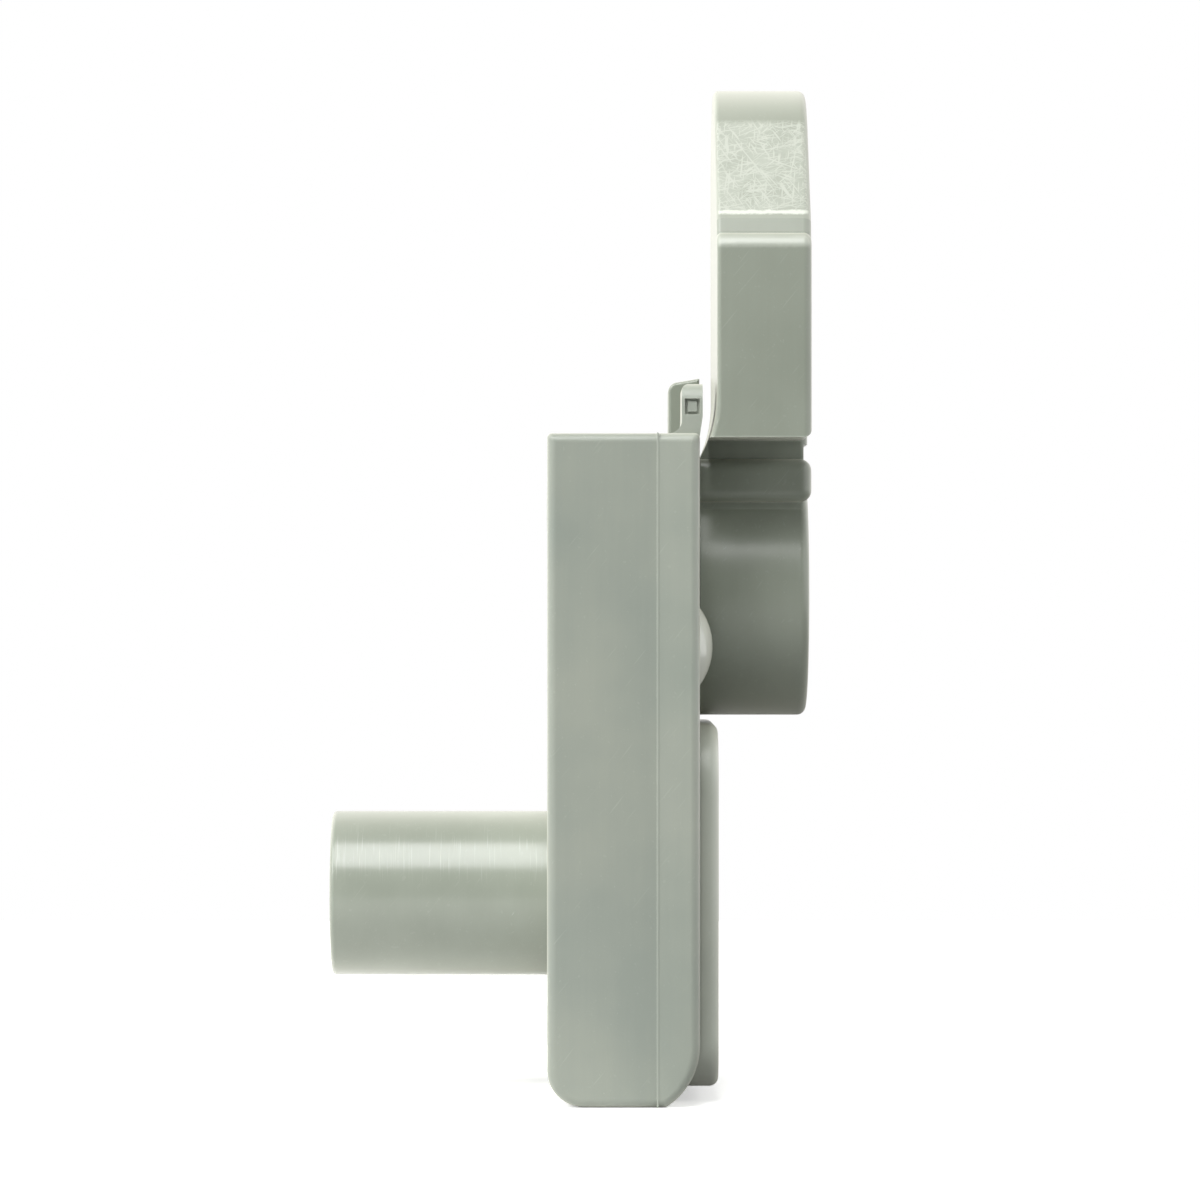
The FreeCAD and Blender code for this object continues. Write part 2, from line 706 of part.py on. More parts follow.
def press_pad():
    pad = rounded_plate(flangeBack, padFront, padHalfWidth, padLow, padHigh, padTopRadius, padLowRadius)
    pad = soften(pad, padEdgeRadius, face_edges(pad, padFront))
    pad = pad.cut(block(0, flangeFront + bite, -past, past, -past, flangeLow))
    flange = block(flangeBack, flangeFront, -flangeHalfWidth, flangeHalfWidth, flangeLow, flangeHigh)
    flange = soften(flange, flangeRadius, edges_where(flange, lambda e: is_along(e, Vector(1, 0, 0))))
    pocket = rounded_plate(0, padFront - padPlate, padHalfWidth - padSkirt, padLow + padSkirt, padHigh - padSkirt,
                           padTopRadius - padSkirt, padLowRadius - padSkirt)
    pad = pad.fuse(flange).cut(pocket)
    # Cups of the springs and the post with the wedge face, both joined to the plate
    plate_back = padFront - padPlate
    cup_back = flangeBack - 0.4
    for y, z in padSprings.values():
        pad = pad.fuse(rod(cupRadius, cup_back, plate_back + bite, y, z))
    post_near = wedgeNear + 0.6
    post_far = wedgeFar - 0.6
    post_low = 9.0
    post_gap = -0.15
    post = polygon([
        Vector(plate_back + bite, post_near, post_low),
        Vector(slide_wedge_x(post_near, post_gap), post_near, post_low),
        Vector(slide_wedge_x(post_far, post_gap), post_far, post_low),
        Vector(plate_back + bite, post_far, post_low),
    ], Vector(0, 0, 8.2))
    pad = pad.fuse(post)
    # Cross ribs behind the plate
    reach = padHalfWidth - 1.0
    for z in padRibs:
        pad = pad.fuse(block(flangeFront + 0.3, plate_back + bite, -reach, reach, z, z + wallRibThick))
    return pad.removeSplitter()


def make_parts():
    shaft = pivot_shaft()
    full_shaft = shaft.fuse(rod(hubScrewRadius, shaftBack, shaftFront, 0, hingeHeight))
    parts = {
        "rear_housing": rear_housing(),
        "front_cover": front_cover(),
        "mounting_spigot": mounting_spigot(),
        "spigot_clip": spigot_clip(),
        "spigot_insert": spigot_insert(),
        "shaft_bush": ring(bushRadius, shaftRadius + runningGap, bushBack, washerBack, 0, hingeHeight),
        "thrust_washer": ring(washerRadius, shaftRadius + 0.1, washerBack, washerFront, 0, hingeHeight),
        "cover_screws": cover_screws(),
        "screw_cap_near": screw_cap(*screwPlaces[0]),
        "screw_cap_far": screw_cap(*screwPlaces[1]),
        "slide_buffer": block(slideBack, slideFront, tabFar + 0.1, caseHalfWidth - wall, bufferBottom, bufferTop),
        "hook_lever": hook_lever(full_shaft),
        "pivot_shaft": shaft,
        "crank_plate": crank_plate(full_shaft),
        "crank_pin": crank_pin(),
        "crank_roller": ring(rollerRadius, pinRadius + runningGap, slideBack, slideFront - 0.1,
                             0, hingeHeight - crankRadius),
        "shaft_clip": shaft_clip(),
        "hub_screw": hub_screw(),
        "hub_cap": hub_cap(),
        "hook_return_spring": hook_return_spring(),
        "thumb_slide": thumb_slide(),
        "press_pad": press_pad(),
    }
    for name, (y, z) in padSprings.items():
        parts[name] = pad_spring(y, z)
    return parts


os.makedirs("parts", exist_ok=True)
for node, shape in make_parts().items():
    shape.exportStep("parts/" + node + ".step")
    print(node, shape.isValid(), len(shape.Solids), round(shape.Volume, 1))
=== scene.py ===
import math
import bpy
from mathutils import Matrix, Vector


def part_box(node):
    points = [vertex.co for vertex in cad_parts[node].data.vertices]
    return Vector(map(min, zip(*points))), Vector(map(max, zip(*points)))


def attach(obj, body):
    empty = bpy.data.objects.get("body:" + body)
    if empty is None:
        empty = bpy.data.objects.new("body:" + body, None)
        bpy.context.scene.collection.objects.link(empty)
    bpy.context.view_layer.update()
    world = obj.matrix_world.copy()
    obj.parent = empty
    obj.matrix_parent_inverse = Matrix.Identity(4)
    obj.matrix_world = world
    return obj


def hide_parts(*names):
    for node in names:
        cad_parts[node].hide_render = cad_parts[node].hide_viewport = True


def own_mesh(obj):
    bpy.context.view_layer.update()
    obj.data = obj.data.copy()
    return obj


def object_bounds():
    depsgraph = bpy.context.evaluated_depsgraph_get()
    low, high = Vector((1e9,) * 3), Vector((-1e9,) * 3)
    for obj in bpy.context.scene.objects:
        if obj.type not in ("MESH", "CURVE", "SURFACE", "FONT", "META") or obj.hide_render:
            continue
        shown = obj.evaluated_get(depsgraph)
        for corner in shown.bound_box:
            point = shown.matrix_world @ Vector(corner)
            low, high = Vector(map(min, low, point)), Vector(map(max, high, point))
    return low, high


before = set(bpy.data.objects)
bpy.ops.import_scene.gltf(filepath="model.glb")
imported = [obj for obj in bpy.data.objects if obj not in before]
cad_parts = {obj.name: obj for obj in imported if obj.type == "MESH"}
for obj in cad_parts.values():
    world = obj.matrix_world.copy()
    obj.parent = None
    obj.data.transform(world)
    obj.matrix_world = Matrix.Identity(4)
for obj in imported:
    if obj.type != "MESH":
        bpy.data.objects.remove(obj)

cadLow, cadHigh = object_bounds()
scene = bpy.context.scene
mm = 0.001  # places and sizes in the dictionaries are in millimetres, unless a note says otherwise


def hexColour(code):
    # sRGB hex to the linear colour that a shader takes
    parts = [int(code[i:i + 2], 16) / 255 for i in (1, 3, 5)]
    return [c / 12.92 if c <= 0.04045 else ((c + 0.055) / 1.055) ** 2.4 for c in parts] + [1.0]


def addNode(tree, kind, settings=None):
    # Adds one node. A setting is a property, a socket's value, or what to link the socket from:
    # another node's socket, or a node, which stands for its first output in use.
    # Properties come first, since they change which sockets are in use
    made = tree.nodes.new(kind)
    for key, value in (settings or {}).items():
        if isinstance(value, bpy.types.Node):
            value = next(output for output in value.outputs if output.enabled)
        if isinstance(value, bpy.types.NodeSocket):
            tree.links.new(value, made.inputs[key])
        elif isinstance(key, str) and hasattr(made, key):
            setattr(made, key, value)
        else:
            made.inputs[key].default_value = value
    return made


view = {"lens": 165, "sensor": 36, "x": 5.3, "distance": 571, "height": 30.4, "nearClip": 10}
cameraData = bpy.data.cameras.new("viewCamera")
cameraData.lens = view["lens"]
cameraData.sensor_width = view["sensor"]
cameraData.clip_start = view["nearClip"] * mm
camera = bpy.data.objects.new("viewCamera", cameraData)
camera.location = (view["x"] * mm, -view["distance"] * mm, view["height"] * mm)
camera.rotation_euler = (math.radians(90), 0, 0)
scene.collection.objects.link(camera)
scene.camera = camera

scene.view_settings.view_transform = "Standard"
scene.view_settings.look = "None"

# Power in watts, size and distance in metres, angles in degrees; a turn to the left is negative
softboxes = {
    "keySoftbox": {"power": 13.0, "size": (0.84, 0.68), "elevation": 42, "turn": -54, "distance": 1.20},
    "stripSoftbox": {"power": 2.0, "size": (0.14, 0.42), "elevation": 56, "turn": -6, "distance": 0.60},
    "sideSoftbox": {"power": 0.35, "size": (0.26, 0.26), "elevation": 30, "turn": 52, "distance": 0.60},
}
aimPoint = Vector((6, 0, 30)) * mm


def hangSoftbox(name, box):
    # Lamp at an elevation above the horizon and a turn from straight in front, aimed at the object
    rise, turn = math.radians(box["elevation"]), math.radians(box["turn"])
    away = Vector((math.sin(turn) * math.cos(rise), -math.cos(turn) * math.cos(rise), math.sin(rise)))
    data = bpy.data.lights.new(name, "AREA")
    data.shape = "RECTANGLE"
    data.size, data.size_y = box["size"]
    data.energy = box["power"]
    lamp = bpy.data.objects.new(name, data)
    lamp.location = aimPoint + box["distance"] * away
    lamp.rotation_euler = (-away).to_track_quat("-Z", "Y").to_euler()
    scene.collection.objects.link(lamp)


for boxName, box in softboxes.items():
    hangSoftbox(boxName, box)

# The light from each side grows from its least to its most over a span of the direction's axis
studio = {
    "behind": {"axis": "Y", "span": (0.1, 0.8), "least": 0.09, "most": 0.9},
    "left": {"axis": "X", "span": (-0.2, -0.75), "least": 0.0, "most": 0.8},
    "right": {"axis": "X", "span": (0.45, 0.9), "least": 0.0, "most": 1.5},
}


def makeWorld():
    # White sweep behind the object, a fill on each side and a dim room in front
    world = bpy.data.worlds.new("studio")
    scene.world = world
    world.use_nodes = True
    tree = world.node_tree
    tree.nodes.clear()
    direction = addNode(tree, "ShaderNodeTexCoord").outputs["Generated"]
    axes = addNode(tree, "ShaderNodeSeparateXYZ", {0: direction}).outputs
    fill = 0.0
    for side in studio.values():
        start, end = side["span"]
        glow = addNode(tree, "ShaderNodeMapRange", {
            "interpolation_type": "SMOOTHSTEP", "From Min": start, "From Max": end,
            "To Min": side["least"], "To Max": side["most"], "Value": axes[side["axis"]]})
        fill = addNode(tree, "ShaderNodeMath", {"operation": "ADD", 0: fill, 1: glow})
    seen = addNode(tree, "ShaderNodeLightPath").outputs["Is Camera Ray"]
    strength = addNode(tree, "ShaderNodeMix", {"data_type": "FLOAT", 0: seen, 2: fill, 3: 1.0})
    sweep = addNode(tree, "ShaderNodeBackground", {"Color": (1, 1, 1, 1), "Strength": strength})
    addNode(tree, "ShaderNodeOutputWorld", {"Surface": sweep})


makeWorld()
print("camera and light are set")

# What all moulded pieces share. Real dust and hairlines are finer than these, which are drawn coarse
# enough to show. A span tells where noise starts to show and where it shows in full
moulding = {
    "tonePatch": 14, "toneSpan": (0.36, 0.64), "streak": (1.1, 1.1, 18), "streakShare": 0.18,
    "speck": 0.5, "speckSpan": (0.775, 0.82), "rubPatch": 1.6, "paintedEdgeGlow": "#e2e1d2", "ior": 1.53,
    "scratchNoise": 0.35, "scratchFade": 0.09, "scratchDull": 0.25,
    "flowBump": (0.08, 0.03), "scratchBump": (0.5, 0.02),  # strength and depth
    # Direction, width, length, and how much rarer it is than the piece's other scratches
    "hairlines": (((0.8, 0.0, 1.0), 0.08, 1.6, 0.0), ((-0.5, 0.9, 1.0), 0.07, 1.8, 0.01)),
    "flashPale": 0.2, "flashSoft": 0.02, "grainHeight": 0.02, "unevenSheen": 0.10,
}


def startMaterial(name):
    # An empty material, its tree and the place on the piece that patterns are drawn by
    material = bpy.data.materials.new(name)
    material.use_nodes = True
    tree = material.node_tree
    tree.nodes.clear()
    return material, tree, addNode(tree, "ShaderNodeTexCoord").outputs["Object"]


def endMaterial(tree, settings):
    shader = addNode(tree, "ShaderNodeBsdfPrincipled", settings)
    addNode(tree, "ShaderNodeOutputMaterial", {"Surface": shader})


def bandMask(tree, value, low, high, soft):
    # 1 between low and high, fading over soft; all three are in millimetres
    up = addNode(tree, "ShaderNodeMapRange",
                 {"From Min": (low - soft) * mm, "From Max": (low + soft) * mm, "Value": value})
    down = addNode(tree, "ShaderNodeMapRange",
                   {"From Min": (high - soft) * mm, "From Max": (high + soft) * mm, "To Min": 1.0, "To Max": 0.0,
                    "Value": value})
    return addNode(tree, "ShaderNodeMath", {"operation": "MULTIPLY", 0: up, 1: down})


def scratchField(tree, place, direction, width, length, cut):
    # Straight scratches in one direction: noise drawn out along it and cut at its peaks
    turn = Vector(direction).to_track_quat("Y", "Z").to_euler()
    turned = addNode(tree, "ShaderNodeMapping",
                     {"vector_type": "TEXTURE", "Rotation": turn,
                      "Scale": (width * mm, length * mm, width * mm), "Vector": place})
    noise = addNode(tree, "ShaderNodeTexNoise",
                    {"Scale": moulding["scratchNoise"], "Detail": 1.0, "Roughness": 0.4, "Vector": turned})
    return addNode(tree, "ShaderNodeMapRange",
                   {"From Min": cut, "From Max": cut + moulding["scratchFade"], "Value": noise})


def mouldedPlastic(name, finish):
    # Grey ABS from a polished or lightly eroded mould: soft sheen, faint flow streaks, pale rubbed edges that also
    # carry a painted highlight, a painted reflection along edges turned from view, hairline scratches and a fine
    # grain that breaks the highlight up
    material, tree, place = startMaterial(name)
    axes = addNode(tree, "ShaderNodeSeparateXYZ", {0: place}).outputs

    # Broad uneven tone, and upright streaks where the melt flowed
    broad = addNode(tree, "ShaderNodeTexNoise",
                    {"Scale": 1 / (moulding["tonePatch"] * mm), "Detail": 3.0, "Vector": place})
    flowPlace = addNode(tree, "ShaderNodeMapping",
                        {"Scale": [1 / (size * mm) for size in moulding["streak"]], "Vector": place})
    flow = addNode(tree, "ShaderNodeTexNoise",
                   {"Scale": 1.0, "Detail": 4.0, "Roughness": 0.62, "Vector": flowPlace})
    uneven = addNode(tree, "ShaderNodeMix",
                     {"data_type": "FLOAT", 0: moulding["streakShare"], 2: broad, 3: flow})
    darkest, lightest = moulding["toneSpan"]
    toneShare = addNode(tree, "ShaderNodeMapRange", {"From Min": darkest, "From Max": lightest, "Value": uneven})
    colour = addNode(tree, "ShaderNodeMix", {"data_type": "RGBA", 0: toneShare, 6: hexColour(finish["dark"]),
                                             7: hexColour(finish["light"])})

    # Dust specks
    dust = addNode(tree, "ShaderNodeTexNoise",
                   {"Scale": 1 / (moulding["speck"] * mm), "Detail": 0.0, "Vector": place})
    rare, full = moulding["speckSpan"]
    specks = addNode(tree, "ShaderNodeMapRange",
                     {"From Min": rare, "From Max": full, "To Max": finish["specks"], "Value": dust})

    # Rubbed edges, pale partly from real wear and partly as a painted highlight: where the rounded normal leaves
    # the true one
    bevelled = addNode(tree, "ShaderNodeBevel", {"samples": 4, "Radius": finish["edge"] * mm})
    trueNormal = addNode(tree, "ShaderNodeNewGeometry").outputs["Normal"]
    alike = addNode(tree, "ShaderNodeVectorMath",
                    {"operation": "DOT_PRODUCT", 0: bevelled, 1: trueNormal}).outputs["Value"]
    apart = addNode(tree, "ShaderNodeMath", {"operation": "SUBTRACT", 0: 1.0, 1: alike})
    rubPatches = addNode(tree, "ShaderNodeTexNoise",
                         {"Scale": 1 / (moulding["rubPatch"] * mm), "Detail": 3.0, "Vector": place})
    rubAndHighlightPatches = addNode(tree, "ShaderNodeMath", {"operation": "MULTIPLY", 0: rubPatches, 1: finish["rubAndHighlight"]})
    edgeWearAndHighlight = addNode(tree, "ShaderNodeMath", {"operation": "MULTIPLY", 0: apart, 1: rubAndHighlightPatches})

    # Hairline scratches in two slanting directions
    first, second = [scratchField(tree, place, direction, width, length, finish["scratchCut"] + rarer)
                     for direction, width, length, rarer in moulding["hairlines"]]
    hair = addNode(tree, "ShaderNodeMath", {"operation": "MAXIMUM", 0: first, 1: second})
    hair = addNode(tree, "ShaderNodeMath", {"operation": "MULTIPLY", 0: hair, 1: finish["hair"]})
    dull = addNode(tree, "ShaderNodeMath", {"operation": "MAXIMUM", 0: edgeWearAndHighlight, 1: hair})
    dull = addNode(tree, "ShaderNodeMath", {"operation": "MAXIMUM", 0: dull, 1: specks})

    # Marks that only some pieces have
    marks = []
    if "worn" in finish:
        marks.append(wornPatch(tree, place, axes, finish["worn"]))
    # A pale line painted along the parting line of the shells
    if "flash" in finish:
        flash = bandMask(tree, axes["X"], *finish["flash"], moulding["flashSoft"])
        marks.append(addNode(tree, "ShaderNodeMath", {"operation": "MULTIPLY", 0: flash, 1: moulding["flashPale"]}))
    if "rings" in finish:
        marks.append(ringScratchGlints(tree, place, axes, finish["rings"]))
    pale = dull
    for mark in marks:
        pale = addNode(tree, "ShaderNodeMath", {"operation": "MAXIMUM", 0: pale, 1: mark})
    paleShare = addNode(tree, "ShaderNodeClamp", {0: pale})
    colour = addNode(tree, "ShaderNodeMix",
                     {"data_type": "RGBA", 0: paleShare, 6: colour, 7: hexColour(finish["pale"])})

    # Painted reflection: the colour turns pale cream where the surface turns from view, standing in for the bright
    # backdrop that rounded edges reflect at a glancing angle
    turnedAway = addNode(tree, "ShaderNodeLayerWeight", {"Blend": 0.5}).outputs["Facing"]
    rim = addNode(tree, "ShaderNodeMath", {"operation": "POWER", 0: turnedAway, 1: finish["paintedGlowPower"]})
    rim = addNode(tree, "ShaderNodeMath", {"operation": "MULTIPLY", 0: rim, 1: finish["rim"]})
    colour = addNode(tree, "ShaderNodeMix",
                     {"data_type": "RGBA", 0: rim, 6: colour, 7: hexColour(moulding["paintedEdgeGlow"])})

    # Sheen: the scratches are duller than the skin
    rough = addNode(tree, "ShaderNodeMath",
                    {"operation": "MULTIPLY_ADD", 0: broad, 1: moulding["unevenSheen"], 2: finish["rough"]})
    rough = addNode(tree, "ShaderNodeMath",
                    {"operation": "MULTIPLY_ADD", 0: dull, 1: moulding["scratchDull"], 2: rough})
    grain = addNode(tree, "ShaderNodeTexNoise",
                    {"Scale": 1 / (finish["grain"] * mm), "Detail": 2.0, "Vector": place})
    bump = addNode(tree, "ShaderNodeBump", {"Strength": finish["grainDepth"],
                                            "Distance": moulding["grainHeight"] * mm, "Height": grain})
    strength, depth = moulding["flowBump"]
    bump = addNode(tree, "ShaderNodeBump",
                   {"Strength": strength, "Distance": depth * mm, "Height": flow, "Normal": bump})
    strength, depth = moulding["scratchBump"]
    bump = addNode(tree, "ShaderNodeBump", {"Strength": strength, "Distance": depth * mm, "invert": True,
                                            "Height": pale, "Normal": bump})
    endMaterial(tree, {"IOR": moulding["ior"], "Base Color": colour, "Roughness": rough, "Normal": bump})
    return material


def wornPatch(tree, place, axes, worn):
    # Whitened ramp of the hook: real scuffing, hairlines every way over a pale haze, and below it painted highlight
    # bands on its foot, step and shoulder, standing in for the light on the ledge
    facing = addNode(tree, "ShaderNodeSeparateXYZ", {0: addNode(tree, "ShaderNodeTexCoord").outputs["Normal"]})
    away, towards = worn["facing"]
    nearFacing = addNode(tree, "ShaderNodeMapRange",
                         {"From Min": away, "From Max": towards, "Value": facing.outputs["Y"]})
    across = addNode(tree, "ShaderNodeMath",
                     {"operation": "MULTIPLY", 0: nearFacing, 1: bandMask(tree, axes["Y"], *worn["across"])})
    marks = 0.0
    for degrees, width, length, cut in worn["scratches"]:
        angle = math.radians(degrees)
        direction = math.cos(angle) * Vector((1, 0, 0)) + math.sin(angle) * Vector(worn["slope"])
        field = scratchField(tree, place, direction, width, length, cut)
        marks = addNode(tree, "ShaderNodeMath", {"operation": "MAXIMUM", 0: marks, 1: field})
    marks = addNode(tree, "ShaderNodeMath", {"operation": "MULTIPLY", 0: marks, 1: worn["marks"]})
    cloud = addNode(tree, "ShaderNodeTexNoise", {"Scale": 1 / (worn["hazePatch"] * mm), "Detail": 5.0,
                                                 "Roughness": 0.55, "Vector": place})
    thin, thick = worn["haze"]
    haze = addNode(tree, "ShaderNodeMapRange",
                   {"From Min": 0.3, "From Max": 0.7, "To Min": thin, "To Max": thick, "Value": cloud})
    whitened = addNode(tree, "ShaderNodeMath", {"operation": "MAXIMUM", 0: marks, 1: haze})
    patch = addNode(tree, "ShaderNodeMath",
                    {"operation": "MULTIPLY", 0: bandMask(tree, axes["Z"], *worn["ramp"]), 1: whitened})

    # The painted highlight bands have ragged ends: their height drifts up and down
    ragged = addNode(tree, "ShaderNodeTexNoise", {"Scale": 1 / (worn["raggedPatch"] * mm), "Detail": 4.0,
                                                  "Roughness": 0.7, "Vector": place})
    drift = addNode(tree, "ShaderNodeMath", {"operation": "SUBTRACT", 0: ragged, 1: 0.5})
    height = addNode(tree, "ShaderNodeMath",
                     {"operation": "MULTIPLY_ADD", 0: drift, 1: worn["drift"] * mm, 2: axes["Z"]})
    for low, high, soft, amount in worn["highlightBands"]:
        band = addNode(tree, "ShaderNodeMath",
                       {"operation": "MULTIPLY", 0: bandMask(tree, height, low, high, soft), 1: amount})
        patch = addNode(tree, "ShaderNodeMath", {"operation": "MAXIMUM", 0: patch, 1: band})
    return addNode(tree, "ShaderNodeMath", {"operation": "MULTIPLY", 0: patch, 1: across})


def ringScratchGlints(tree, place, axes, rings):
    # Fine short rub marks from the tube that slides over the spigot, painted pale as glints only in the band round
    # its upper side where the highlight falls
    width, length = rings["size"]
    stretched = addNode(tree, "ShaderNodeMapping",
                        {"Scale": (1 / (width * mm), 1 / (length * mm), 1 / (length * mm)), "Vector": place})
    noise = addNode(tree, "ShaderNodeTexNoise", {"Scale": 0.5, "Detail": 2.0, "Vector": stretched})
    rare, full = rings["span"]
    marks = addNode(tree, "ShaderNodeMapRange",
                    {"From Min": rare, "From Max": full, "To Max": rings["marks"], "Value": noise})
    return addNode(tree, "ShaderNodeMath",
                   {"operation": "MULTIPLY", 0: marks, 1: bandMask(tree, axes["Z"], *rings["upper"])})


caseFinish = {
    "dark": "#848b82", "light": "#8f9489", "pale": "#c3c8bd", "rim": 0.75, "paintedGlowPower": 2.2,
    "specks": 0.06, "edge": 0.35, "rubAndHighlight": 1.1, "scratchCut": 0.70, "hair": 0.10,
    "grain": 0.30, "grainDepth": 0.16, "rough": 0.34, "flash": (11.0, 11.15),
}
coverPaintedLightFinish = dict(caseFinish, dark="#8c9389", light="#979c91")  # painted light: a touch paler, standing in for the brighter light toward the cover's front
hookFinish = {
    "dark": "#82887c", "light": "#8a9084", "pale": "#d3d7cd", "rim": 0.75, "paintedGlowPower": 2.2,
    "specks": 0.04, "edge": 0.4, "rubAndHighlight": 1.4, "scratchCut": 0.69, "hair": 0.07,
    "grain": 0.35, "grainDepth": 0.12, "rough": 0.26,
    "worn": {  # ramp, across and the painted highlight bands give low, high and softness, and a band also how pale it is
        "ramp": (69.3, 79.2, 0.3), "across": (-30, -8.0, 1.2), "facing": (-0.45, -0.65), "slope": (0.0, 0.68, 0.74),
        "haze": (0.10, 0.28), "hazePatch": 3.5, "raggedPatch": 0.7, "drift": 0.5, "marks": 0.46,
        # Angle on the slope in degrees, width, length, and the height at which noise shows as a scratch
        "scratches": ((12, 0.06, 0.9, 0.56), (48, 0.05, 0.7, 0.57), (85, 0.06, 0.8, 0.57),
                      (118, 0.07, 1.2, 0.58), (155, 0.05, 0.8, 0.57), (30, 0.12, 3.0, 0.66)),
        # Painted highlights on the ledge: its bright foot line, a faint step and the lit shoulder
        "highlightBands": ((69.15, 69.6, 0.10, 0.85), (67.3, 69.1, 0.12, 0.12), (65.9, 67.0, 0.35, 0.35)),
    },
}
spigotFinish = {
    "dark": "#8a9084", "light": "#92988c", "pale": "#d8dbd0", "rim": 0.75, "paintedGlowPower": 2.2,
    "specks": 0.04, "edge": 0.3, "rubAndHighlight": 1.0, "scratchCut": 0.69, "hair": 0.05,
    "grain": 0.4, "grainDepth": 0.08, "rough": 0.20,
    # The ring marks are painted glints, kept to the band where the highlight falls
    "rings": {"marks": 0.30, "size": (0.07, 2.5), "span": (0.60, 0.76), "upper": (2.4, 6.4, 1.2)},
}
# Paler than the case: painted light standing in for the light the pad's edge catches from the right, with a broader
# painted edge reflection
padPaintedLightFinish = {
    "dark": "#b0b5aa", "light": "#b8bdb2", "pale": "#c9cdc2", "rim": 0.75, "paintedGlowPower": 1.6,
    "specks": 0.2, "edge": 0.35, "rubAndHighlight": 1.2, "scratchCut": 0.675, "hair": 0.15,
    "grain": 0.28, "grainDepth": 0.22, "rough": 0.30,
}
# Paler than the case: painted light standing in for the bright crescent the domed caps catch
capPaintedLightFinish = {
    "dark": "#b8bcb3", "light": "#c0c4bb", "pale": "#d0d4ca", "rim": 0.75, "paintedGlowPower": 2.2,
    "specks": 0.1, "edge": 0.3, "rubAndHighlight": 0.8, "scratchCut": 0.70, "hair": 0.1,
    "grain": 0.4, "grainDepth": 0.06, "rough": 0.16,
}
plastic = {
    "case": mouldedPlastic("mouldedAbsCase", caseFinish),
    "cover": mouldedPlastic("mouldedAbsCoverPaintedLight", coverPaintedLightFinish),
    "hook": mouldedPlastic("mouldedAbsHook", hookFinish),
    "spigot": mouldedPlastic("mouldedAbsSpigot", spigotFinish),
    "pad": mouldedPlastic("mouldedAbsPadPaintedLight", padPaintedLightFinish),
    "cap": mouldedPlastic("mouldedAbsCapPaintedLight", capPaintedLightFinish),
}


turning = {"mark": (0.12, 6, 6), "spot": 1.5, "bump": (0.35, 0.02), "unevenSheen": 0.25}


def turnedMetal(name, finish):
    # Turned or drawn metal: fine tool marks round its axis and a few dull spots
    material, tree, place = startMaterial(name)
    lathe = addNode(tree, "ShaderNodeMapping",
                    {"Scale": [1 / (size * mm) for size in turning["mark"]], "Vector": place})
    marks = addNode(tree, "ShaderNodeTexNoise", {"Scale": 1.0, "Detail": 2.0, "Vector": lathe})
    spots = addNode(tree, "ShaderNodeTexNoise",
                    {"Scale": 1 / (turning["spot"] * mm), "Detail": 4.0, "Vector": place})
    colour = addNode(tree, "ShaderNodeMix", {"data_type": "RGBA", 0: spots, 6: hexColour(finish["bright"]),
                                             7: hexColour(finish["dull"])})
    rough = addNode(tree, "ShaderNodeMath",
                    {"operation": "MULTIPLY_ADD", 0: marks, 1: turning["unevenSheen"], 2: finish["rough"]})
    strength, depth = turning["bump"]
    bump = addNode(tree, "ShaderNodeBump", {"Strength": strength, "Distance": depth * mm, "Height": marks})
    endMaterial(tree, {"Metallic": 1.0, "Base Color": colour, "Roughness": rough, "Normal": bump})
    return material


mattSkin = {"cloud": 2.5, "bump": (0.2, 0.03), "unevenSheen": 0.15, "ior": 1.48}


def softPolymer(name, finish):
    # Natural acetal or black rubber: hardly any shine, a cloudy tone and a matt skin
    material, tree, place = startMaterial(name)
    cloud = addNode(tree, "ShaderNodeTexNoise",
                    {"Scale": 1 / (mattSkin["cloud"] * mm), "Detail": 4.0, "Vector": place})
    colour = addNode(tree, "ShaderNodeMix", {"data_type": "RGBA", 0: cloud, 6: hexColour(finish["dark"]),
                                             7: hexColour(finish["light"])})
    rough = addNode(tree, "ShaderNodeMath",
                    {"operation": "MULTIPLY_ADD", 0: cloud, 1: mattSkin["unevenSheen"], 2: finish["rough"]})
    strength, depth = mattSkin["bump"]
    bump = addNode(tree, "ShaderNodeBump", {"Strength": strength, "Distance": depth * mm, "Height": cloud})
    endMaterial(tree, {"IOR": mattSkin["ior"], "Base Color": colour, "Roughness": rough, "Normal": bump})
    return material


metals = {
    "zincPlatedSteel": turnedMetal("zincPlatedSteel", {"bright": "#c9cac6", "dull": "#a3a6a2", "rough": 0.22}),
    "turnedSteel": turnedMetal("turnedSteel", {"bright": "#bfc1c3", "dull": "#9b9da0", "rough": 0.14}),
    "drawnSpringSteel": turnedMetal("drawnSpringSteel", {"bright": "#a9abad", "dull": "#74767a", "rough": 0.24}),
    "knurledBrass": turnedMetal("knurledBrass", {"bright": "#d9b36a", "dull": "#b08a45", "rough": 0.18}),
}
polymers = {
    "naturalAcetal": softPolymer("naturalAcetal", {"dark": "#d3d0c4", "light": "#e6e3d8", "rough": 0.42}),
    "mouldedRubber": softPolymer("mouldedRubber", {"dark": "#151515", "light": "#242422", "rough": 0.62}),
}

